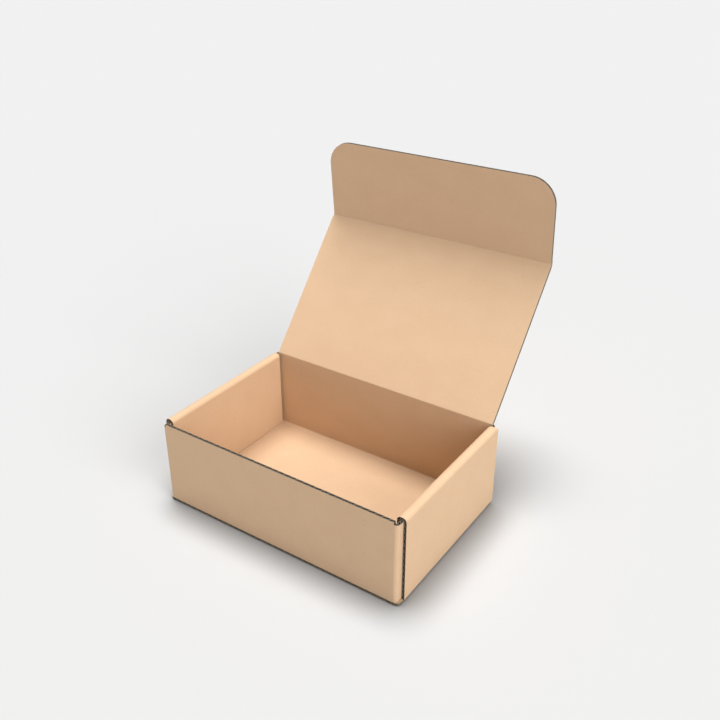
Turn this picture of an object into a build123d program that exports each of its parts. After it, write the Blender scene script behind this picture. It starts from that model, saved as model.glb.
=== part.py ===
"""Corrugated mailer box with rolled sides and a tucked lid, modelled open.

One sheet of corrugated board makes the whole box. It is written as the three
stiff panels that turn against each other at the two creases that get used:
the tray, the lid and the lid's tuck flap.

Frame: X runs across the front, Y from the front to the back and Z up. The
origin is the middle of the tray's footprint, on the face that it rests on.
Lengths are in millimetres and angles in degrees.
"""

import os
from math import cos, radians, sin

from build123d import *

# Board and folds
BOARD = 2.8  # thickness of the corrugated board
FOLD_INNER = 1.0  # inside radius of a folded crease
LAYER_GAP = 0.1  # air between layers that lie against each other
CUT_GAP = 0.3  # air along a die-cut line

# Tray
TRAY_WIDTH = 250.0  # over the outer side panels
TRAY_DEPTH = 162.0  # over the front and back walls
FRONT_HEIGHT = 82.0  # floor to the front wall's top edge
ROLL_HEIGHT = 83.1  # floor to the top of the rolled sides
TUCK_SLOT = 4.6  # front wall to the rolls: room for the tuck flap
BACK_STEP = 1.8  # back face to the outer side panels' back edge
ROLL_BACK_STEP = 4.6  # back face to the roll tops' back edge
INNER_BACK_STEP = 5.8  # back face to the inner side panels' back edge
BASE_LIP_INSET = 0.8  # base's front lip, narrower than the tray on each side
BASE_CORNER_RADIUS = 5.0  # base's rounded front corners

# Corner flaps, which turn back from the front and back walls into the rolls
CORNER_FLAP_LENGTH = 48.0  # beyond the corner fold
CORNER_FLAP_ROUND = 8.0  # corners of a corner flap's free end
CORNER_FLAP_DROP = 0.7  # below the roll top's underside
BACK_SHOULDER_DROP = 1.2  # back corner's top edge below the lid's inner face

# Locking tabs of the inner side panels, in slots of the base
TAB_COUNT = 2  # on each side
TAB_WIDTH = 26.0
TAB_SPACING = 70.0  # between the middles of a side's two tabs
TAB_RECESS = 0.4  # tab's end above the underside

# Lid and tuck flap
LID_SEAT_GAP = 0.4  # shut lid above the rolls
LID_WIDTH = 239.0
LID_FRONT_GAP = 0.7  # tuck flap behind the front wall when shut
FLAP_LENGTH = 77.8
FLAP_SIDE_GAP = 0.6  # tuck flap to each corner flap when shut
FLAP_CORNER_RADIUS = 24.0
LID_SIDE_GAP = 0.4  # lid to the back corners' top edges
LID_LEAN = 39.9  # lid behind upright, as modelled
FLAP_BEND = 45.1  # tuck flap forward of the lid's plane, as modelled
CREASE_GAP = 0.4  # air between two stiff panels at a crease

# Worked out
FOLD_OUTER = FOLD_INNER + BOARD
HALF_WIDTH = TRAY_WIDTH / 2
FRONT = -TRAY_DEPTH / 2
BACK = TRAY_DEPTH / 2
ROLL_WIDTH = 3 * BOARD + 2 * LAYER_GAP
ROLL_INNER_X = HALF_WIDTH - ROLL_WIDTH
ROLL_FRONT_Y = FRONT + BOARD + TUCK_SLOT
PANEL_BACK_Y = BACK - BACK_STEP
CORNER_FLAP_X = HALF_WIDTH - BOARD - LAYER_GAP
CORNER_FLAP_TOP = ROLL_HEIGHT - BOARD - CORNER_FLAP_DROP
CORNER_FLAP_BOTTOM = BOARD + CUT_GAP
WALL_END_X = CORNER_FLAP_X - FOLD_OUTER
LID_CREASE_Y = BACK - BOARD
LID_CREASE_Z = ROLL_HEIGHT + LID_SEAT_GAP
BACK_SHOULDER_TOP = LID_CREASE_Z - BACK_SHOULDER_DROP
LID_LENGTH = LID_CREASE_Y - (FRONT + BOARD + LID_FRONT_GAP + BOARD)
FLAP_WIDTH = 2 * (CORNER_FLAP_X - BOARD - FLAP_SIDE_GAP)
FLAP_CREASE_Y = LID_CREASE_Y + LID_LENGTH * sin(radians(LID_LEAN))
FLAP_CREASE_Z = LID_CREASE_Z + LID_LENGTH * cos(radians(LID_LEAN))


def block(x0, x1, y0, y1, z0, z1):
    """Box between two opposite corners."""
    middle = Pos((x0 + x1) / 2, (y0 + y1) / 2, (z0 + z1) / 2)
    return middle * Box(x1 - x0, y1 - y0, z1 - z0)


def edges_along_y(solid, x, z):
    """Edges of a block that run along Y through the given X and Z."""
    runs = solid.edges().filter_by(Axis.Y)
    return [e for e in runs if abs(e.center().X - x) < 1e-6 and abs(e.center().Z - z) < 1e-6]


def base():
    """Flat base: its front lip is cut flush with the front wall's outer face."""
    floor = block(-WALL_END_X, WALL_END_X, ROLL_FRONT_Y, BACK - FOLD_OUTER, 0, BOARD)
    lip_half = HALF_WIDTH - BASE_LIP_INSET
    lip = block(-lip_half, lip_half, FRONT, ROLL_FRONT_Y, 0, BOARD)
    corners = lip.edges().filter_by(Axis.Z).group_by(Axis.Y)[0]
    return floor + fillet(corners, BASE_CORNER_RADIUS)


def corner_fold(wall_y, toward_back, top):
    """Quarter round at a vertical corner of the tray's right side."""
    centre_y = wall_y + toward_back * FOLD_OUTER
    height = top - CORNER_FLAP_BOTTOM
    at = Pos(WALL_END_X, centre_y, CORNER_FLAP_BOTTOM + height / 2)
    ring = at * (Cylinder(FOLD_OUTER, height) - Cylinder(FOLD_INNER, height))
    y0, y1 = sorted((wall_y, centre_y))
    return ring & block(WALL_END_X, CORNER_FLAP_X, y0, y1, CORNER_FLAP_BOTTOM, top)


def corner_flap(wall_y, toward_back, fold_top):
    """Corner fold and the flap that it carries into the right-hand roll."""
    fold_y = wall_y + toward_back * FOLD_OUTER
    end_y = fold_y + toward_back * CORNER_FLAP_LENGTH
    y0, y1 = sorted((fold_y, end_y))
    inner_x = CORNER_FLAP_X - BOARD
    flap = block(inner_x, CORNER_FLAP_X, y0, y1, CORNER_FLAP_BOTTOM, CORNER_FLAP_TOP)
    free_end = flap.edges().filter_by(Axis.X).group_by(Axis.Y)[-1 if toward_back > 0 else 0]
    flap = fillet(free_end, CORNER_FLAP_ROUND)
    return corner_fold(wall_y, toward_back, fold_top) + flap


def front_wall():
    """Front wall, which stands on the base's front lip."""
    return block(-WALL_END_X, WALL_END_X, FRONT, FRONT + BOARD, BOARD, FRONT_HEIGHT)


def back_wall():
    """Back wall with its fold to the base, below the lid's crease."""
    wall = block(-WALL_END_X, WALL_END_X, BACK - BOARD, BACK, FOLD_OUTER, LID_CREASE_Z)
    length = 2 * WALL_END_X
    at = Pos(0, BACK - FOLD_OUTER, FOLD_OUTER) * Rot(0, 90, 0)
    ring = at * (Cylinder(FOLD_OUTER, length) - Cylinder(FOLD_INNER, length))
    fold = ring & block(-WALL_END_X, WALL_END_X, BACK - FOLD_OUTER, BACK, 0, FOLD_OUTER)
    return wall + fold


def lid_crease_cut():
    """Wedge above the back wall's mitred top, clear of the lid at any angle."""
    low = LID_CREASE_Z - CREASE_GAP / 2
    reach = BOARD + 1
    profile = Polygon(
        (LID_CREASE_Y - 1, low),
        (LID_CREASE_Y, low),
        (LID_CREASE_Y + reach, low - reach),
        (LID_CREASE_Y + reach, low + reach),
        (LID_CREASE_Y - 1, low + reach),
        align=None,
    )
    half = LID_WIDTH / 2 + LID_SIDE_GAP
    return extrude(Plane.YZ.offset(-half) * profile, 2 * half)


def roll_shell():
    """Right-hand outer panel, roll top and inner panel, wrapped around the flaps."""
    outer = block(ROLL_INNER_X, HALF_WIDTH, ROLL_FRONT_Y, PANEL_BACK_Y, 0, ROLL_HEIGHT)
    rounds = edges_along_y(outer, HALF_WIDTH, 0)
    rounds += edges_along_y(outer, HALF_WIDTH, ROLL_HEIGHT)
    rounds += edges_along_y(outer, ROLL_INNER_X, ROLL_HEIGHT)
    outer = fillet(rounds, FOLD_OUTER)
    x0 = ROLL_INNER_X + BOARD
    x1 = HALF_WIDTH - BOARD
    top = ROLL_HEIGHT - BOARD
    hollow = block(x0, x1, ROLL_FRONT_Y, PANEL_BACK_Y, BOARD, top)
    rounds = edges_along_y(hollow, x1, BOARD)
    rounds += edges_along_y(hollow, x1, top)
    rounds += edges_along_y(hollow, x0, top)
    return outer - fillet(rounds, FOLD_INNER)


def roll_back_cut():
    """Trims the roll top and inner panel back from the back corner's fold."""
    past_x = ROLL_INNER_X - 1
    past_y = BACK + 1
    plan = Polygon(
        (past_x, BACK - INNER_BACK_STEP),
        (ROLL_INNER_X, BACK - INNER_BACK_STEP),
        (HALF_WIDTH - BOARD, BACK - ROLL_BACK_STEP),
        (HALF_WIDTH - BOARD, past_y),
        (past_x, past_y),
        align=None,
    )
    return extrude(Plane.XY.offset(BOARD) * plan, ROLL_HEIGHT)


def tab_positions():
    """Middles of a side's locking tabs, along Y."""
    middle = (ROLL_FRONT_Y + BACK - INNER_BACK_STEP) / 2
    return [middle + (i - (TAB_COUNT - 1) / 2) * TAB_SPACING for i in range(TAB_COUNT)]


def side_roll():
    """Right-hand roll with its locking tabs standing in the base's slots."""
    x0 = ROLL_INNER_X
    x1 = ROLL_INNER_X + BOARD
    roll = roll_shell() - roll_back_cut()
    fold_y = BACK - FOLD_OUTER
    roll -= block(x0, WALL_END_X + CUT_GAP, fold_y, BACK, 0, BOARD)
    roll -= block(x0, x1, ROLL_FRONT_Y, BACK, BOARD, BOARD + CUT_GAP)
    for y in tab_positions():
        y0 = y - TAB_WIDTH / 2
        y1 = y + TAB_WIDTH / 2
        roll += block(x0, x1, y0, y1, TAB_RECESS, BOARD + 2 * CUT_GAP)
    return roll


def base_slots():
    """Slots in the base around the right-hand roll's locking tabs."""
    x0 = ROLL_INNER_X
    x1 = ROLL_INNER_X + BOARD
    slots = []
    for y in tab_positions():
        y0 = y - TAB_WIDTH / 2
        y1 = y + TAB_WIDTH / 2
        slot = block(x0 - CUT_GAP, x1 + CUT_GAP, y0 - CUT_GAP, y1 + CUT_GAP, 0, BOARD)
        slots.append(slot - block(x0, x1, y0, y1, TAB_RECESS, BOARD))
    return slots


def make_tray():
    """Base, walls, corner flaps and rolled sides, folded from the one sheet."""
    right = side_roll()
    right += corner_flap(FRONT, 1, CORNER_FLAP_TOP)
    right += corner_flap(BACK, -1, BACK_SHOULDER_TOP)
    tray = base() + front_wall() + back_wall() + right + mirror(right, Plane.YZ)
    for slot in base_slots():
        tray -= slot
        tray -= mirror(slot, Plane.YZ)
    return tray - lid_crease_cut()


def lid_panel():
    """Lid standing upright on its crease, with its inner face on Y = 0."""
    start = CREASE_GAP / 2
    end = LID_LENGTH - CREASE_GAP / 2
    profile = Polygon((0, start), (BOARD, start + BOARD), (BOARD, end), (0, end), align=None)
    return extrude(Plane.YZ.offset(-LID_WIDTH / 2) * profile, LID_WIDTH)


def flap_panel():
    """Tuck flap standing upright on its crease, with its inner face on Y = 0."""
    half = FLAP_WIDTH / 2
    panel = block(-half, half, 0, BOARD, CREASE_GAP / 2, FLAP_LENGTH)
    corners = panel.edges().filter_by(Axis.Y).group_by(Axis.Z)[-1]
    return fillet(corners, FLAP_CORNER_RADIUS)


def make_lid():
    """Lid, leaning back from its crease on the back wall."""
    return Location((0, LID_CREASE_Y, LID_CREASE_Z), (-LID_LEAN, 0, 0)) * lid_panel()


def make_tuck_flap():
    """Tuck flap, bent forward from its crease on the lid."""
    lean = LID_LEAN - FLAP_BEND
    return Location((0, FLAP_CREASE_Y, FLAP_CREASE_Z), (-lean, 0, 0)) * flap_panel()


os.makedirs("parts", exist_ok=True)
export_step(make_tray(), "parts/tray.step")
export_step(make_lid(), "parts/lid.step")
export_step(make_tuck_flap(), "parts/tuck_flap.step")
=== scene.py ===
"""Looks of the corrugated mailer box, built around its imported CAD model.

The box is one sheet of B-flute board. Each stretch of it is written as a board
mesh: a path, seen along the flutes or along a fold, with the board's thickness
beside it and the sheet's other direction across it. Cut ends that cross the
flutes are open, with the wavy medium between the two liners.

Working lengths are in millimetres and turn into metres where a mesh is made.
X runs across the front, Y from the front to the back and Z up.
"""

import itertools
import math

import bpy
import numpy as np
from mathutils import Matrix, Vector


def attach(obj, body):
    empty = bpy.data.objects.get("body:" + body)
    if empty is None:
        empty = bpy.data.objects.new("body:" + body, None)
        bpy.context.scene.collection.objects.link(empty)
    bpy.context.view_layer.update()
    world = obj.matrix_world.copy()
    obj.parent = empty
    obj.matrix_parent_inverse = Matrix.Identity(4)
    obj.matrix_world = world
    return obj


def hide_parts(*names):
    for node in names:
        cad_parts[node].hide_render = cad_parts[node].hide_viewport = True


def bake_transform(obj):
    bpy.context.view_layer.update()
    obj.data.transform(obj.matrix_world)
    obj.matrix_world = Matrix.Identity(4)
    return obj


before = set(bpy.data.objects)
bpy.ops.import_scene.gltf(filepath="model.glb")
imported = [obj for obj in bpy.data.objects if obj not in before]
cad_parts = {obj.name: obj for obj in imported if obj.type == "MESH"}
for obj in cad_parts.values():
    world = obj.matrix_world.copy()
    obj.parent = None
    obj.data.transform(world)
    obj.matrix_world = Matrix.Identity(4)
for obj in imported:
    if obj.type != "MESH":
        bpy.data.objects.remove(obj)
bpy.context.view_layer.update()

MM = 0.001

# Board
BOARD = 2.8
LINER = 0.3
MEDIUM = 0.22
FLUTE_PITCH = 6.3
FLUTE_STEPS = 14  # of the wavy medium, in one pitch
FLUTE_DEPTH = 4.0  # how far an open flute is hollow
MEDIUM_INSET = 0.04  # medium's edge within the cut end
EDGE_DEPTH = 0.45  # of the core's groove, along the flutes
STEP = 0.02  # run of the path in which an edge changes height
ARC_STEPS = 12
TOLERANCE = 1e-9
SHARP_ANGLE = 28.0

# Where a strip of medium stops short
LINER_END = 0.5  # of the lip's ends, and of a roll's start
FLAP_SIDE_END = 0.6  # of the tuck flap's sides, and of the tabs
FREE_END = 2.0  # of a corner flap's rounded end
FOLD_END = 0.2  # of a corner fold's change of height
SHOULDER_END = 0.1  # of a back shoulder's ends

# Tray, as in the CAD model
HALF_WIDTH = 125.0
FRONT = -81.0
BACK = 81.0
FRONT_HEIGHT = 82.0
ROLL_HEIGHT = 83.1
TUCK_SLOT = 4.6
FOLD_INNER = 1.0
LAYER_GAP = 0.1
CUT_GAP = 0.3
BACK_STEP = 1.8
ROLL_BACK_STEP = 4.6
INNER_BACK_STEP = 5.8
BASE_LIP_INSET = 0.8
BASE_CORNER_RADIUS = 5.0
CORNER_FLAP_LENGTH = 48.0
CORNER_FLAP_ROUND = 8.0
CORNER_FLAP_DROP = 0.7
BACK_SHOULDER_DROP = 1.2
TAB_WIDTH = 26.0
TAB_SPACING = 70.0
TAB_RECESS = 0.4
LIP_POCKET = 3.0  # groove and medium in the lip's front edge, together
ROLL_STEP_PACE = 2.2  # how soon a roll's back edge drops to its new line

# Lid and tuck flap, as in the CAD model
LID_SEAT_GAP = 0.4
LID_WIDTH = 239.0
LID_FRONT_GAP = 0.7
LID_SIDE_GAP = 0.4
FLAP_LENGTH = 77.8
FLAP_SIDE_GAP = 0.6
FLAP_CORNER_RADIUS = 24.0
LID_LEAN = 39.9
FLAP_BEND = 45.1

# Crease strips
CREASE_REACH = 3.0  # on each side of the crease
CREASE_STEPS = 24
STRETCH_REACH = 1.8  # of the bend, where the outer side stretches
SCORE_WIDTH = 0.9
SCORE_OUTSIDE = 0.25
SCORE_INSIDE = 0.06

# Worked out
FOLD = FOLD_INNER + BOARD
FOLD_RUN = FOLD * math.pi / 2
PANEL_BACK_Y = BACK - BACK_STEP
ROLL_BACK_Y = BACK - ROLL_BACK_STEP
INNER_BACK_Y = BACK - INNER_BACK_STEP
LIP_HALF = HALF_WIDTH - BASE_LIP_INSET
ROLL_INNER_X = HALF_WIDTH - 3 * BOARD - 2 * LAYER_GAP
ROLL_FRONT_Y = FRONT + BOARD + TUCK_SLOT
CORNER_FLAP_X = HALF_WIDTH - BOARD - LAYER_GAP
CORNER_FLAP_TOP = ROLL_HEIGHT - BOARD - CORNER_FLAP_DROP
CORNER_FLAP_BOTTOM = BOARD + CUT_GAP
WALL_END_X = CORNER_FLAP_X - FOLD
LID_CREASE = (BACK - BOARD, ROLL_HEIGHT + LID_SEAT_GAP)
LID_LENGTH = LID_CREASE[0] - (FRONT + BOARD + LID_FRONT_GAP + BOARD)
LID_HALF = LID_WIDTH / 2
FLAP_HALF = CORNER_FLAP_X - BOARD - FLAP_SIDE_GAP
SHOULDER_TOP = LID_CREASE[1] - BACK_SHOULDER_DROP

# Paper
PAPER = (0.635, 0.436, 0.278)
PAPER_LIGHT = (0.655, 0.453, 0.291)
PAPER_DEEP = (0.615, 0.42, 0.265)
FIBRE = (0.50, 0.32, 0.186)
FLECK = (0.23, 0.13, 0.065)
EDGE_LIGHT = (0.31, 0.26, 0.20)
EDGE_DARK = (0.20, 0.165, 0.125)
# Inside the flutes: the cut edge's dark paper, made darker still as painted shade of these
# recesses
HOLLOW_LIGHT = (0.26, 0.215, 0.165)
HOLLOW_DARK = (0.17, 0.14, 0.105)
FLECK_WARP = 0.09  # share of a cell by which a fleck's outline wanders
FLECK_CORE = 0.45  # share of a fleck that is fully dark
RIB_HEIGHT = 0.5  # relief over the flutes, beside the next line's relief of fibres
FIBRE_HEIGHT = 0.55

# Stage: tones are linear, and each light is its direction times its strength
FLOOR_TONE = 0.537
# Painted contact shadow: the floor's colour darkens towards this tone near the box, within this
# reach
PAINTED_SHADOW_TONE = 0.33
PAINTED_SHADOW_REACH = 50.0
PAINTED_SHADOW_ENDS = (0.45, 0.98)  # openness, from darkest to clear floor
FLOOR_HALF = 12000.0
FLOOR_DROP = -0.3
BACKDROP = 0.88
CEILING = 0.06
BACKDROP_ENDS = (0.2, 0.55)
KEY = Vector((0.60, -0.17, 0.36))
KEY_ANGLE = 45.0
TOP = Vector((-0.17, 0.12, 1.10))
TOP_ANGLE = 32.0

# Camera, in degrees and metres, and its lens in millimetres
CAMERA_AZIMUTH = 34.2
CAMERA_ELEVATION = 28.7
CAMERA_AIM = Vector((-0.0849, 0.1732, 0.0420))
CAMERA_DISTANCE = 0.9483
CAMERA_LENS = 43.45
CAMERA_SENSOR = 36.0
CAMERA_FAR = 50.0


class Path:
    """A run of straight stretches and left-hand arcs along a board's outer face."""

    def __init__(self, x, y, heading):
        self.at_end = (x, y, math.radians(heading))
        self.parts = []
        self.length = 0.0

    def line(self, length):
        x, y, a = self.at_end
        self.parts.append((self.length, length, x, y, a, None))
        self.at_end = (x + length * math.cos(a), y + length * math.sin(a), a)
        self.length += length
        return self

    def turn(self, radius, degrees=90.0):
        x, y, a = self.at_end
        length = radius * math.radians(degrees)
        self.parts.append((self.length, length, x, y, a, radius))
        self.at_end = (*self._on_arc(x, y, a, radius, length), a + math.radians(degrees))
        self.length += length
        return self

    @staticmethod
    def _on_arc(x, y, a, radius, run):
        b = a + run / radius
        return x + radius * (math.sin(b) - math.sin(a)), y - radius * (math.cos(b) - math.cos(a))

    def at(self, u):
        """Point of the outer face and the direction into the board."""
        for start, length, x, y, a, radius in self.parts:
            if u <= start + length + TOLERANCE:
                break
        run = u - start
        if radius is None:
            return (x + run * math.cos(a), y + run * math.sin(a)), (-math.sin(a), math.cos(a))
        b = a + run / radius
        return self._on_arc(x, y, a, radius, run), (-math.sin(b), math.cos(b))

    def knots(self):
        """Places that a mesh along the path needs."""
        found = [0.0]
        for start, length, _x, _y, _a, radius in self.parts:
            steps = 1 if radius is None else ARC_STEPS
            found += [start + length * (i + 1) / steps for i in range(steps)]
        return found


def plan(x, y, v):
    """The path is seen from above and v is the height."""
    return x, y, v


def front_section(x, z, v):
    """The path is seen from the front and v runs to the back."""
    return x, v, z


def side_section(y, z, v):
    """The path is seen from the side and v runs across the front."""
    return v, y, z


class Sheet:
    """Collects the faces of one piece of board."""

    def __init__(self):
        self.points = []
        self.sheet = []
        self.faces = []
        self.kinds = []

    def add(self, points, sheet, faces, kinds):
        """Adds closed faces, turned so that they look outwards."""
        points = np.array(points, float)
        volume = 0.0
        for f in faces:
            a, b, c, d = (points[i] for i in f)
            volume += np.dot(a, np.cross(b, c)) + np.dot(a, np.cross(c, d))
        if volume < 0:
            faces = [f[::-1] for f in faces]
        first = sum(len(p) for p in self.points)
        self.points.append(points)
        self.sheet.append(np.array(sheet, float))
        self.faces += [tuple(first + i for i in f) for f in faces]
        self.kinds += kinds

    def mirrored(self):
        """The same board on the other side of X = 0."""
        other = Sheet()
        other.points = [p * (-1, 1, 1) for p in self.points]
        other.sheet = [s * (-1, 1, 1) for s in self.sheet]
        other.faces = [f[::-1] for f in self.faces]
        other.kinds = list(self.kinds)
        return other

    def join(self, other):
        first = sum(len(p) for p in self.points)
        self.points += other.points
        self.sheet += other.sheet
        self.faces += [tuple(first + i for i in f) for f in other.faces]
        self.kinds += other.kinds

    def make(self, name, materials):
        """The Blender object, in metres."""
        points = np.concatenate(self.points) * MM
        mesh = bpy.data.meshes.new(name)
        mesh.from_pydata(points.tolist(), [], self.faces)
        attribute = mesh.attributes.new("sheet", "FLOAT_VECTOR", "POINT")
        attribute.data.foreach_set("vector", np.concatenate(self.sheet).astype(np.float32).ravel())
        for material in materials:
            mesh.materials.append(material)
        mesh.polygons.foreach_set("material_index", self.kinds)
        mesh.polygons.foreach_set("use_smooth", [True] * len(self.faces))
        mesh.update()
        mesh.set_sharp_from_angle(angle=math.radians(SHARP_ANGLE))
        made = bpy.data.objects.new(name, mesh)
        bpy.context.scene.collection.objects.link(made)
        return made


KRAFT, RAW_EDGE, HOLLOW = range(3)
CORE = 1
INNER_LINER = 2

# A cell's six sides: the step to the neighbour, then the side's four corners
CELL_SIDES = (
    ((-1, 0, 0), ((0, 0, 0), (0, 0, 1), (0, 1, 1), (0, 1, 0))),
    ((1, 0, 0), ((1, 0, 0), (1, 1, 0), (1, 1, 1), (1, 0, 1))),
    ((0, -1, 0), ((0, 0, 0), (1, 0, 0), (1, 0, 1), (0, 0, 1))),
    ((0, 1, 0), ((0, 1, 0), (0, 1, 1), (1, 1, 1), (1, 1, 0))),
    ((0, 0, -1), ((0, 0, 0), (0, 1, 0), (1, 1, 0), (1, 0, 0))),
    ((0, 0, 1), ((0, 0, 1), (1, 0, 1), (1, 1, 1), (0, 1, 1))),
)


def side_kind(step, layer):
    """Material of a cell's bare side."""
    if step[2] == 0:
        return HOLLOW if layer == CORE else RAW_EDGE
    outermost = 0 if step[2] < 0 else INNER_LINER
    return KRAFT if layer == outermost else HOLLOW


def board(sheet, path, place, levels, filled, extra=(), along_path=False, shape=None):
    """Adds a stretch of board to the sheet.

    levels(u) gives the places across the path, and filled(u, j, k) says whether
    the cell between places j and j + 1 is board, in layer k: outer liner, core
    or inner liner. along_path is True where the flutes follow the path.
    shape(u, w) moves the point at depth w, for a crease.
    """
    wanted = [min(max(u, 0.0), path.length) for u in (*path.knots(), *extra)]
    us = sorted(set(round(u, 6) for u in wanted))
    depths = (0.0, LINER, BOARD - LINER, BOARD)
    rows = [levels(u) for u in us]
    count = len(rows[0])
    middle = path.length / 2
    grid = {}
    points = []
    coords = []

    def corner(i, j, k):
        key = (i, j, k)
        if key not in grid:
            u = us[i]
            v = rows[i][j]
            w = depths[k] if shape is None else shape(u, depths[k])
            (a, b), (na, nb) = path.at(u)
            grid[key] = len(points)
            points.append(place(a + na * w, b + nb * w, v))
            coords.append((v, u, w) if along_path else (u - middle, v, w))
        return grid[key]

    def is_filled(i, j, k):
        if not (0 <= i < len(us) - 1 and 0 <= j < count - 1 and 0 <= k < 3):
            return False
        return filled((us[i] + us[i + 1]) / 2, j, k)

    faces = []
    kinds = []
    for i, j, k in itertools.product(range(len(us) - 1), range(count - 1), range(3)):
        if not is_filled(i, j, k):
            continue
        for step, corners in CELL_SIDES:
            if is_filled(i + step[0], j + step[1], k + step[2]):
                continue
            faces.append(tuple(corner(i + a, j + b, k + c) for a, b, c in corners))
            kinds.append(side_kind(step, k))
    sheet.add(points, coords, faces, kinds)


def medium(sheet, path, place, start, end, edge, inward, depth=FLUTE_DEPTH):
    """Adds the wavy medium between the liners of an open cut end.

    It runs from start to end along the path. edge(u) is the cut end's place
    across the path, and inward is +1 or -1.
    """
    swing = BOARD / 2 - LINER - MEDIUM / 2
    turns = (end - start) / FLUTE_PITCH
    steps = max(4, round(turns * FLUTE_STEPS))
    points = []
    coords = []
    for n in range(steps + 1):
        u = start + (end - start) * n / steps
        phase = 2 * math.pi * (u - path.length / 2) / FLUTE_PITCH
        w = BOARD / 2 + swing * math.sin(phase)
        slope = swing * 2 * math.pi / FLUTE_PITCH * math.cos(phase)
        lean = math.atan(slope)
        for side in (-1, 1):
            uu = min(max(u - side * MEDIUM / 2 * math.sin(lean), 0.0), path.length)
            ww = w + side * MEDIUM / 2 * math.cos(lean)
            (a, b), (na, nb) = path.at(uu)
            for run in (MEDIUM_INSET, depth - MEDIUM_INSET):
                v = edge(u) + inward * run
                points.append(place(a + na * ww, b + nb * ww, v))
                coords.append((uu - path.length / 2, v, ww))
    faces = [(0, 1, 3, 2)]
    for n in range(steps):
        a = 4 * n
        b = a + 4
        faces += [(a, b, b + 1, a + 1), (a + 2, a + 3, b + 3, b + 2)]
        faces += [(a, a + 2, b + 2, b), (a + 1, b + 1, b + 3, a + 3)]
    last = 4 * steps
    faces.append((last, last + 2, last + 3, last + 1))
    sheet.add(points, coords, faces, [RAW_EDGE] * len(faces))


def round_off(beyond, radius):
    """How far a rounded corner's edge has drawn in, beyond its start."""
    beyond = min(max(beyond, 0.0), radius)
    return radius - math.sqrt(radius * radius - beyond * beyond)


def round_stations(start, radius, steps=10):
    """Places along a rounded corner, closer together where it turns away."""
    return [start + radius * math.sin(math.pi / 2 * i / steps) for i in range(steps + 1)]


def both_ways(middle, offsets):
    """Places on both sides of a middle."""
    return [middle + sign * offset for sign in (-1, 1) for offset in offsets]


def either_side(at):
    """Two places a small step apart, where an edge changes height."""
    return [at - STEP / 2, at + STEP / 2]


# Tray ----------------------------------------------------------------------


def closed_strip(sheet, path, half):
    """Flutes along the path, so that both side edges show only a rough core."""
    edges = (-half, -half + EDGE_DEPTH, half - EDGE_DEPTH, half)

    def filled(u, j, k):
        return k != CORE or j == 1

    board(sheet, path, side_section, lambda u: edges, filled, along_path=True)


def base_board(sheet):
    """Flat floor between the side rolls."""
    path = Path(-ROLL_INNER_X + CUT_GAP, 0, 0).line(2 * (ROLL_INNER_X - CUT_GAP))
    board(
        sheet,
        path,
        front_section,
        lambda u: (ROLL_FRONT_Y, BACK - FOLD),
        lambda u, j, k: True,
    )


def lip_board(sheet):
    """Front lip of the base, cut flush with the front wall's face."""
    path = Path(-LIP_HALF, 0, 0).line(2 * LIP_HALF)
    turn = LIP_HALF - BASE_CORNER_RADIUS

    def front(u):
        return FRONT + round_off(abs(u - LIP_HALF) - turn, BASE_CORNER_RADIUS)

    def levels(u):
        return front(u), front(u) + LIP_POCKET / 2, ROLL_FRONT_Y

    def filled(u, j, k):
        at_side = u < EDGE_DEPTH or u > path.length - EDGE_DEPTH
        return k != CORE or (j == 1 and not at_side)

    extra = both_ways(LIP_HALF, round_stations(turn, BASE_CORNER_RADIUS))
    extra += [EDGE_DEPTH, path.length - EDGE_DEPTH]
    board(sheet, path, front_section, levels, filled, extra)
    end = path.length - LINER_END
    medium(sheet, path, front_section, LINER_END, end, front, 1, LIP_POCKET / 2)


def wall_path(x, y, heading):
    """Path along a corner flap, a wall and its other corner flap, seen from above."""
    path = Path(x, y, heading).line(CORNER_FLAP_LENGTH).turn(FOLD)
    return path.line(2 * WALL_END_X).turn(FOLD).line(CORNER_FLAP_LENGTH)


def flap_end_stations(path):
    """Places that the rounded free ends of both corner flaps need."""
    near = [CORNER_FLAP_ROUND - s for s in round_stations(0, CORNER_FLAP_ROUND, steps=6)]
    near.append(EDGE_DEPTH)
    return near + [path.length - at for at in near]


def front_board(sheet):
    """Front wall and its two corner flaps."""
    path = wall_path(-CORNER_FLAP_X, FRONT + FOLD + CORNER_FLAP_LENGTH, -90)
    wall_start = CORNER_FLAP_LENGTH + FOLD_RUN
    wall_end = path.length - wall_start

    def rounded(u):
        return round_off(CORNER_FLAP_ROUND - min(u, path.length - u), CORNER_FLAP_ROUND)

    def on_wall(u):
        return wall_start < u < wall_end

    def top(u):
        return FRONT_HEIGHT if on_wall(u) else CORNER_FLAP_TOP - rounded(u)

    def bottom(u):
        return BOARD if on_wall(u) else CORNER_FLAP_BOTTOM + rounded(u)

    def levels(u):
        return bottom(u), bottom(u) + FLUTE_DEPTH, top(u) - FLUTE_DEPTH, top(u)

    def filled(u, j, k):
        if k != CORE:
            return True
        at_end = min(u, path.length - u) < EDGE_DEPTH
        return not at_end and (j == 1 or (j == 0 and on_wall(u)))

    extra = either_side(wall_start) + either_side(wall_end) + flap_end_stations(path)
    board(sheet, path, plan, levels, filled, extra)
    flaps = (
        (FREE_END, wall_start - FOLD_END),
        (wall_end + FOLD_END, path.length - FREE_END),
    )
    medium(sheet, path, plan, wall_start + FOLD_END, wall_end - FOLD_END, top, -1)
    for start, end in flaps:
        medium(sheet, path, plan, start, end, top, -1)
        medium(sheet, path, plan, start, end, bottom, 1)


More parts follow.
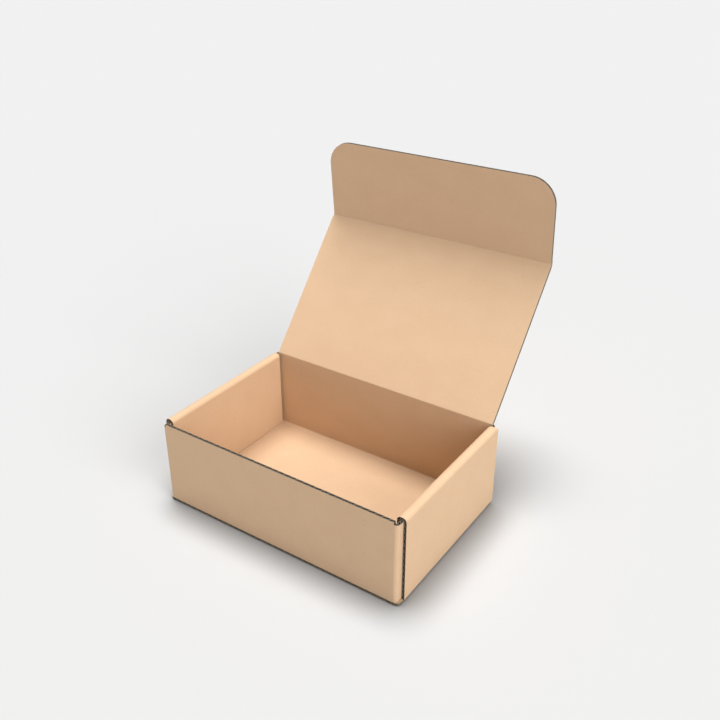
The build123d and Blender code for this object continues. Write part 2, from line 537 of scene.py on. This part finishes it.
def back_board(sheet):
    """Back wall, up to the lid's crease, and its two corner flaps."""
    path = wall_path(CORNER_FLAP_X, BACK - FOLD - CORNER_FLAP_LENGTH, 90)
    wall_start = CORNER_FLAP_LENGTH + FOLD_RUN
    crease_end = FOLD * math.asin((LID_HALF + LID_SIDE_GAP - WALL_END_X) / FOLD)
    shoulder = (CORNER_FLAP_LENGTH, wall_start - crease_end)

    def near_end(u):
        return min(u, path.length - u)

    def rounded(u):
        return round_off(CORNER_FLAP_ROUND - near_end(u), CORNER_FLAP_ROUND)

    def top(u):
        at = near_end(u)
        if at > shoulder[1]:
            return LID_CREASE[1] - CREASE_REACH
        if at > shoulder[0]:
            return SHOULDER_TOP
        return CORNER_FLAP_TOP - rounded(u)

    def bottom(u):
        return FOLD if near_end(u) > wall_start else CORNER_FLAP_BOTTOM + rounded(u)

    def levels(u):
        return bottom(u), bottom(u) + FLUTE_DEPTH, top(u) - FLUTE_DEPTH, top(u)

    def filled(u, j, k):
        at = near_end(u)
        if k != CORE:
            return True
        if at < EDGE_DEPTH:
            return False
        return j == 1 or (j == 0 and at > wall_start) or (j == 2 and at > shoulder[1])

    extra = flap_end_stations(path)
    for at in (*shoulder, wall_start):
        extra += either_side(at) + either_side(path.length - at)
    board(sheet, path, plan, levels, filled, extra)
    open_ends = (
        (FREE_END, shoulder[0] - FOLD_END, top, -1),
        (shoulder[0] + SHOULDER_END, shoulder[1] - SHOULDER_END, top, -1),
        (FREE_END, wall_start - FOLD_END, bottom, 1),
    )
    for start, end, edge, inward in open_ends:
        medium(sheet, path, plan, start, end, edge, inward)
        medium(sheet, path, plan, path.length - end, path.length - start, edge, inward)


def back_fold_board(sheet):
    """Fold between the base and the back wall."""
    path = Path(BACK - FOLD, 0, 0).turn(FOLD)
    closed_strip(sheet, path, WALL_END_X)


def side_board(sheet):
    """Right-hand roll: outer panel, roll top, inner panel and tabs in the base's slots."""
    start_x = ROLL_INNER_X - CUT_GAP
    path = Path(start_x, 0, 0).line(HALF_WIDTH - FOLD - start_x).turn(FOLD)
    outer_top = path.line(ROLL_HEIGHT - 2 * FOLD).length
    roll_top = HALF_WIDTH - ROLL_INNER_X - 2 * FOLD
    inner_top = path.turn(FOLD).line(roll_top).turn(FOLD).length
    path.line(ROLL_HEIGHT - FOLD - TAB_RECESS)
    slot_end = ROLL_INNER_X + BOARD + CUT_GAP - start_x
    corner_end = WALL_END_X - start_x
    panel_end = path.length - (BOARD + CUT_GAP - TAB_RECESS)
    middle = (ROLL_FRONT_Y + INNER_BACK_Y) / 2
    tabs = (middle - TAB_SPACING / 2, middle + TAB_SPACING / 2)
    front_cell, *_, back_cell = range(7)
    tab_cells = (2, 4)

    def far(u):
        if u < corner_end:
            return BACK - FOLD
        if u <= outer_top:
            return PANEL_BACK_Y
        if u >= inner_top:
            return INNER_BACK_Y
        share = (u - outer_top) / (inner_top - outer_top)
        drop = 0.5 - 0.5 * math.cos(math.pi * min(1.0, ROLL_STEP_PACE * share))
        end = ROLL_BACK_Y + (INNER_BACK_Y - ROLL_BACK_Y) * share
        return PANEL_BACK_Y + (end - PANEL_BACK_Y) * drop

    def levels(u):
        half = TAB_WIDTH / 2 + (0 if u > panel_end else CUT_GAP)
        rows = [ROLL_FRONT_Y, ROLL_FRONT_Y + FLUTE_DEPTH]
        for tab in tabs:
            rows += [tab - half, tab + half]
        return rows + [far(u) - FLUTE_DEPTH, far(u)]

    def filled(u, j, k):
        at_tab = j in tab_cells
        if u < slot_end and at_tab:
            return False
        if u > panel_end:
            return at_tab and (k != CORE or u < path.length - EDGE_DEPTH)
        if k != CORE:
            return True
        if u > panel_end - EDGE_DEPTH and not at_tab:
            return False
        return j != front_cell and (j != back_cell or u < corner_end)

    extra = [slot_end, panel_end - EDGE_DEPTH, path.length - EDGE_DEPTH]
    extra += either_side(corner_end) + either_side(panel_end)
    board(sheet, path, front_section, levels, filled, extra)
    start = corner_end + LINER_END
    end = panel_end - FLAP_SIDE_END
    medium(sheet, path, front_section, start, end, lambda u: ROLL_FRONT_Y, 1)
    medium(sheet, path, front_section, start, end, far, -1)


def make_tray(materials):
    """The tray's board, in place of its CAD node."""
    sheet = Sheet()
    base_board(sheet)
    lip_board(sheet)
    front_board(sheet)
    back_board(sheet)
    back_fold_board(sheet)
    side = Sheet()
    side_board(side)
    sheet.join(side)
    sheet.join(side.mirrored())
    tray = sheet.make("tray_board", materials)
    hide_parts("tray")
    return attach(tray, "tray")


# Lid and tuck flap -----------------------------------------------------------


def lean_about(pivot, degrees):
    """Matrix, in metres, that leans a panel back and moves it to its crease."""
    y, z = pivot
    to = Matrix.Translation(Vector((0, y * MM, z * MM)))
    return to @ Matrix.Rotation(-math.radians(degrees), 4, "X")


def flap_crease_point():
    """Crease of the tuck flap, at the end of the leaning lid."""
    lean = math.radians(LID_LEAN)
    y, z = LID_CREASE
    return y + LID_LENGTH * math.sin(lean), z + LID_LENGTH * math.cos(lean)


def make_lid(materials):
    """Lid between its two crease strips."""
    sheet = Sheet()
    path = Path(BOARD, CREASE_REACH, 90).line(LID_LENGTH - 2 * CREASE_REACH)
    closed_strip(sheet, path, LID_HALF)
    lid = sheet.make("lid_board", materials)
    lid.data.transform(lean_about(LID_CREASE, LID_LEAN))
    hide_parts("lid")
    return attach(lid, "lid")


def make_tuck_flap(materials):
    """Tuck flap beyond its crease strip, with its two rounded corners."""
    sheet = Sheet()
    path = Path(FLAP_HALF, BOARD, 180).line(2 * FLAP_HALF)
    turn = FLAP_HALF - FLAP_CORNER_RADIUS

    def top(u):
        return FLAP_LENGTH - round_off(abs(u - FLAP_HALF) - turn, FLAP_CORNER_RADIUS)

    def levels(u):
        return CREASE_REACH, top(u) - FLUTE_DEPTH, top(u)

    def filled(u, j, k):
        return k != CORE or (j == 0 and min(u, path.length - u) > EDGE_DEPTH)

    extra = both_ways(FLAP_HALF, round_stations(turn, FLAP_CORNER_RADIUS, steps=16))
    extra += [EDGE_DEPTH, path.length - EDGE_DEPTH]
    board(sheet, path, plan, levels, filled, extra)
    medium(sheet, path, plan, FLAP_SIDE_END, path.length - FLAP_SIDE_END, top, -1)
    flap = sheet.make("tuck_flap_board", materials)
    flap.data.transform(lean_about(flap_crease_point(), LID_LEAN - FLAP_BEND))
    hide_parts("tuck_flap")
    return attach(flap, "tuck_flap")


def scored(u, w):
    """A depth into the board, pressed in where the crease is scored."""
    off = (u - CREASE_REACH) / SCORE_WIDTH
    press = math.exp(-off * off)
    if w > BOARD / 2:
        return w - SCORE_INSIDE * press
    return w + SCORE_OUTSIDE * press


def crease_strip(name, materials, pivot, lean_before, lean_after, half_before, half_after):
    """Bending strip of board across a crease, at its rest angle."""
    sheet = Sheet()
    path = Path(BOARD, -CREASE_REACH, 90).line(2 * CREASE_REACH)

    def levels(u):
        half = half_before + (half_after - half_before) * u / path.length
        return -half, half

    extra = [path.length * i / CREASE_STEPS for i in range(CREASE_STEPS + 1)]
    board(
        sheet,
        path,
        side_section,
        levels,
        lambda u, j, k: True,
        extra,
        along_path=True,
        shape=scored,
    )
    strip = sheet.make(name, materials)
    turn = lean_after - lean_before
    for vertex in strip.data.vertices:
        x, y, z = vertex.co / MM
        if turn > 0:
            y, z, lean = pinched(y, z, lean_before, turn)
        else:
            lean = lean_before + turn * smooth_share(z)
        vertex.co = lean_about(pivot, lean) @ (Vector((x, y, z)) * MM)
    middle = math.radians((lean_before + lean_after) / 2)
    along = Vector((0, math.sin(middle), math.cos(middle))) * CREASE_REACH * MM
    centre = Vector((0, *pivot)) * MM
    return strip, centre - along, centre + along


def smooth_share(z):
    """0 below the crease and 1 above it, changing smoothly across it."""
    share = min(max((z + STRETCH_REACH) / (2 * STRETCH_REACH), 0.0), 1.0)
    return share * share * (3 - 2 * share)


def pinched(y, z, lean_before, turn):
    """Point of a fold that closes on its outer side, where both halves meet on a mitre."""
    mitre = y * math.tan(math.radians(turn) / 2)
    share = z / CREASE_REACH
    away = abs(share) * (CREASE_REACH - mitre) + mitre
    if share < 0:
        return y, -away, lean_before
    return y, away, lean_before + turn


def make_creases(materials):
    """The two crease strips of the lid and its flap, baked in place at their rest angles."""
    strip, start, end = crease_strip(
        "lid_crease_board", materials, LID_CREASE, 0, LID_LEAN, LID_HALF, LID_HALF
    )
    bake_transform(strip)
    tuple(start)
    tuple(end)
    strip, start, end = crease_strip(
        "tuck_flap_crease_board",
        materials,
        flap_crease_point(),
        LID_LEAN,
        LID_LEAN - FLAP_BEND,
        LID_HALF,
        FLAP_HALF,
    )
    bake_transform(strip)
    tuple(start)
    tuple(end)


# Materials -------------------------------------------------------------------


class Nodes:
    """A material and short ways to build its nodes."""

    def __init__(self, name, roughness=1.0, specular=0.0):
        self.material = bpy.data.materials.new(name)
        self.material.use_nodes = True
        self.tree = self.material.node_tree
        self.tree.nodes.clear()
        self.shader = self.add("ShaderNodeBsdfPrincipled", Roughness=roughness)
        self.shader.inputs["Specular IOR Level"].default_value = specular
        output = self.add("ShaderNodeOutputMaterial")
        self.link(self.shader.outputs["BSDF"], output.inputs["Surface"])

    def add(self, kind, **values):
        """Adds a node. Each value is one of its settings or else one of its inputs."""
        node = self.tree.nodes.new(kind)
        for key, value in values.items():
            if hasattr(node, key):
                setattr(node, key, value)
            else:
                node.inputs[key].default_value = value
        return node

    def link(self, source, target):
        self.tree.links.new(source, target)

    def fill(self, socket, value):
        """Gives an input a number, a colour or another node's output."""
        if isinstance(value, (int, float)):
            socket.default_value = value
        elif isinstance(value, tuple):
            socket.default_value = (*value, 1.0)
        else:
            self.link(value, socket)

    def math(self, operation, a, b=0.0):
        node = self.add("ShaderNodeMath", operation=operation)
        self.fill(node.inputs[0], a)
        self.fill(node.inputs[1], b)
        return node.outputs[0]

    def ramp(self, value, low, high, out_low=0.0, out_high=1.0):
        """Value mapped from one range to another, smoothly and within the range."""
        node = self.add("ShaderNodeMapRange", interpolation_type="SMOOTHSTEP")
        self.link(value, node.inputs["Value"])
        set_range(node, low, high, out_low, out_high)
        return node.outputs[0]

    def mix(self, factor, a, b):
        node = self.add("ShaderNodeMix", data_type="RGBA")
        for number, value in ((0, factor), (6, a), (7, b)):
            self.fill(node.inputs[number], value)
        return node.outputs[2]

    def sheet_place(self, across=1.0, along=1.0, offset=(0.0, 0.0, 0.0)):
        """Place on the sheet, scaled across and along the flutes."""
        source = self.add("ShaderNodeAttribute", attribute_name="sheet")
        mapping = self.add("ShaderNodeMapping")
        mapping.inputs["Scale"].default_value = (across, along, 1.0)
        mapping.inputs["Location"].default_value = offset
        self.link(source.outputs["Vector"], mapping.inputs["Vector"])
        return mapping.outputs["Vector"]

    def noise(self, place, detail, roughness=0.55, distortion=0.0):
        node = self.add("ShaderNodeTexNoise", Scale=1.0, Detail=detail, Distortion=distortion)
        node.inputs["Roughness"].default_value = roughness
        self.link(place, node.inputs["Vector"])
        return node.outputs["Fac"]

    def bump(self, height, strength, distance):
        """Fine relief, whose distance is in millimetres."""
        node = self.add("ShaderNodeBump", Strength=strength, Distance=distance * MM)
        self.link(height, node.inputs["Height"])
        self.link(node.outputs[0], self.shader.inputs["Normal"])


def set_range(node, low, high, out_low, out_high):
    """Ends of a map range node."""
    names = ("From Min", "From Max", "To Min", "To Max")
    for name, number in zip(names, (low, high, out_low, out_high)):
        node.inputs[name].default_value = number


def flecks(n, spacing, size, share, strength, offset):
    """Small flecks in the paper: one in a cell, in only a share of the cells."""
    place = n.sheet_place(1 / spacing, 1 / spacing, offset)
    warp = n.add("ShaderNodeTexNoise", Scale=1.0)
    n.link(n.sheet_place(across=1.7, along=1.1, offset=offset), warp.inputs["Vector"])
    shifted = n.add("ShaderNodeVectorMath", operation="MULTIPLY_ADD")
    n.link(warp.outputs["Color"], shifted.inputs[0])
    shifted.inputs[1].default_value = (FLECK_WARP, FLECK_WARP, 0.0)
    n.link(place, shifted.inputs[2])
    cells = n.add("ShaderNodeTexVoronoi", voronoi_dimensions="2D", Scale=1.0)
    n.link(shifted.outputs[0], cells.inputs["Vector"])
    edge = size / spacing
    near = n.ramp(cells.outputs["Distance"], edge, FLECK_CORE * edge)
    split = n.add("ShaderNodeSeparateColor")
    n.link(cells.outputs["Color"], split.inputs[0])
    chosen = n.math("LESS_THAN", split.outputs[0], share)
    return n.math("MULTIPLY", n.math("MULTIPLY", near, chosen), strength)


def flute_ribs(n):
    """A wave that follows the flutes beneath the liner."""
    split = n.add("ShaderNodeSeparateXYZ")
    n.link(n.sheet_place(), split.inputs[0])
    return n.math("SINE", n.math("MULTIPLY", split.outputs[0], 2 * math.pi / FLUTE_PITCH))


def kraft_paper():
    """Unbleached liner: warm, matt and fibrous, faintly ribbed over the flutes."""
    n = Nodes("kraft_liner", specular=0.25)
    mottle = n.noise(n.sheet_place(across=0.035, along=0.05), detail=3.0)
    cloud = n.noise(n.sheet_place(across=0.22, along=0.3, offset=(7.0, 3.0, 0.0)), detail=5.0)
    fibres = n.noise(
        n.sheet_place(across=0.55, along=3.6), detail=6.0, roughness=0.7, distortion=0.6
    )
    stray = n.noise(
        n.sheet_place(across=2.4, along=0.8, offset=(31.0, 12.0, 0.0)),
        detail=5.0,
        roughness=0.65,
        distortion=1.4,
    )
    paper = n.mix(n.ramp(mottle, 0.3, 0.7), PAPER_DEEP, PAPER_LIGHT)
    paper = n.mix(n.ramp(cloud, 0.25, 0.75, out_low=0.3, out_high=0.8), paper, PAPER)
    fibre = n.math(
        "ADD", n.ramp(fibres, 0.3, 0.7, out_high=0.6), n.ramp(stray, 0.3, 0.7, out_high=0.4)
    )
    paper = n.mix(n.ramp(fibre, 0.1, 0.9, out_low=0.24, out_high=0.0), paper, FIBRE)
    large = flecks(n, spacing=6.5, size=0.42, share=0.16, strength=0.42, offset=(3.0, 8.0, 0.0))
    small = flecks(n, spacing=2.2, size=0.2, share=0.2, strength=0.22, offset=(17.0, 1.0, 0.0))
    paper = n.mix(large, paper, FLECK)
    paper = n.mix(small, paper, FLECK)
    n.link(paper, n.shader.inputs["Base Color"])
    roughness = n.ramp(fibre, 0.2, 0.9, out_low=0.93, out_high=0.82)
    n.link(roughness, n.shader.inputs["Roughness"])
    ribs = n.math("MULTIPLY", flute_ribs(n), RIB_HEIGHT)
    fuzz = n.math("MULTIPLY", fibre, FIBRE_HEIGHT)
    n.bump(n.math("ADD", ribs, fuzz), strength=0.5, distance=0.06)
    return n.material


def raw_edge():
    """Cut edge of the liners and the medium: darker, with frayed fibres."""
    n = Nodes("cut_board_edge", roughness=0.95, specular=0.15)
    fray = n.noise(n.sheet_place(2.6, 2.6), detail=6.0, roughness=0.7, distortion=0.8)
    grain = n.noise(n.sheet_place(0.3, 0.3, offset=(5.0, 2.0, 0.0)), detail=3.0)
    tone = n.mix(n.ramp(fray, 0.3, 0.72), EDGE_DARK, EDGE_LIGHT)
    tone = n.mix(n.ramp(grain, 0.3, 0.7, out_high=0.3), tone, EDGE_DARK)
    n.link(tone, n.shader.inputs["Base Color"])
    n.bump(fray, strength=0.6, distance=0.08)
    return n.material


def flute_hollow():
    """Inside of the flutes, and the torn core along a cut edge: the cut edge's dark paper, made
    darker still as painted shade of these recesses.
    """
    n = Nodes("flute_hollow", roughness=0.95, specular=0.1)
    place = n.sheet_place(across=0.7, along=2.2, offset=(9.0, 4.0, 0.0))
    fray = n.noise(place, detail=6.0, roughness=0.7, distortion=1.0)
    n.link(n.mix(n.ramp(fray, 0.3, 0.7), HOLLOW_DARK, HOLLOW_LIGHT), n.shader.inputs["Base Color"])
    n.bump(fray, strength=0.7, distance=0.15)
    return n.material


# Stage -----------------------------------------------------------------------


def grey(tone):
    """Colour of one tone."""
    return tone, tone, tone


def make_floor():
    """Plain pale floor past the camera's view, with a painted contact shadow: its colour is darker
    close to the box, by ambient occlusion.
    """
    mesh = bpy.data.meshes.new("studio_floor")
    corners = ((-1, -1), (1, -1), (1, 1), (-1, 1))
    points = [(x * FLOOR_HALF * MM, y * FLOOR_HALF * MM, FLOOR_DROP * MM) for x, y in corners]
    mesh.from_pydata(points, [], [(0, 1, 2, 3)])
    floor = bpy.data.objects.new("studio_floor", mesh)
    bpy.context.scene.collection.objects.link(floor)
    n = Nodes("studio_floor")
    # Painted contact shadow: ambient occlusion darkens the floor's colour near the box
    near = n.add("ShaderNodeAmbientOcclusion", samples=16, Distance=PAINTED_SHADOW_REACH * MM)
    clear = n.ramp(near.outputs["AO"], *PAINTED_SHADOW_ENDS)
    tone = n.mix(clear, grey(PAINTED_SHADOW_TONE), grey(FLOOR_TONE))
    n.link(tone, n.shader.inputs["Base Color"])
    mesh.materials.append(n.material)


def soft_sun(name, towards, angle):
    """Broad light whose vector gives its direction and its strength."""
    sun = bpy.data.lights.new(name, "SUN")
    sun.energy = math.pi * towards.length
    sun.angle = math.radians(angle)
    made = bpy.data.objects.new(name, sun)
    made.rotation_euler = towards.to_track_quat("Z", "Y").to_euler()
    bpy.context.scene.collection.objects.link(made)


def make_light():
    """Pale backdrop below a darker ceiling, a broad key and a broad top light."""
    world = bpy.data.worlds.new("studio")
    bpy.context.scene.world = world
    world.use_nodes = True
    tree = world.node_tree
    direction = tree.nodes.new("ShaderNodeTexCoord")
    split = tree.nodes.new("ShaderNodeSeparateXYZ")
    fade = tree.nodes.new("ShaderNodeMapRange")
    fade.interpolation_type = "SMOOTHSTEP"
    set_range(fade, *BACKDROP_ENDS, BACKDROP, CEILING)
    background = tree.nodes["Background"]
    background.inputs["Color"].default_value = (1, 1, 1, 1)
    tree.links.new(direction.outputs["Generated"], split.inputs[0])
    tree.links.new(split.outputs["Z"], fade.inputs["Value"])
    tree.links.new(fade.outputs[0], background.inputs["Strength"])
    soft_sun("key", KEY, KEY_ANGLE)
    soft_sun("top", TOP, TOP_ANGLE)


def make_camera():
    """Camera at the front right, above the box."""
    azimuth = math.radians(CAMERA_AZIMUTH)
    elevation = math.radians(CAMERA_ELEVATION)
    level = math.cos(elevation)
    back = Vector((math.sin(azimuth) * level, -math.cos(azimuth) * level, math.sin(elevation)))
    data = bpy.data.cameras.new("camera")
    data.lens = CAMERA_LENS
    data.sensor_width = CAMERA_SENSOR
    data.clip_end = CAMERA_FAR
    camera = bpy.data.objects.new("camera", data)
    camera.location = CAMERA_AIM + back * CAMERA_DISTANCE
    camera.rotation_euler = back.to_track_quat("Z", "Y").to_euler()
    bpy.context.scene.collection.objects.link(camera)
    bpy.context.scene.camera = camera


bpy.context.scene.view_settings.view_transform = "Standard"
board_materials = (kraft_paper(), raw_edge(), flute_hollow())
make_tray(board_materials)
make_lid(board_materials)
make_tuck_flap(board_materials)
make_creases(board_materials)
make_floor()
make_light()
make_camera()
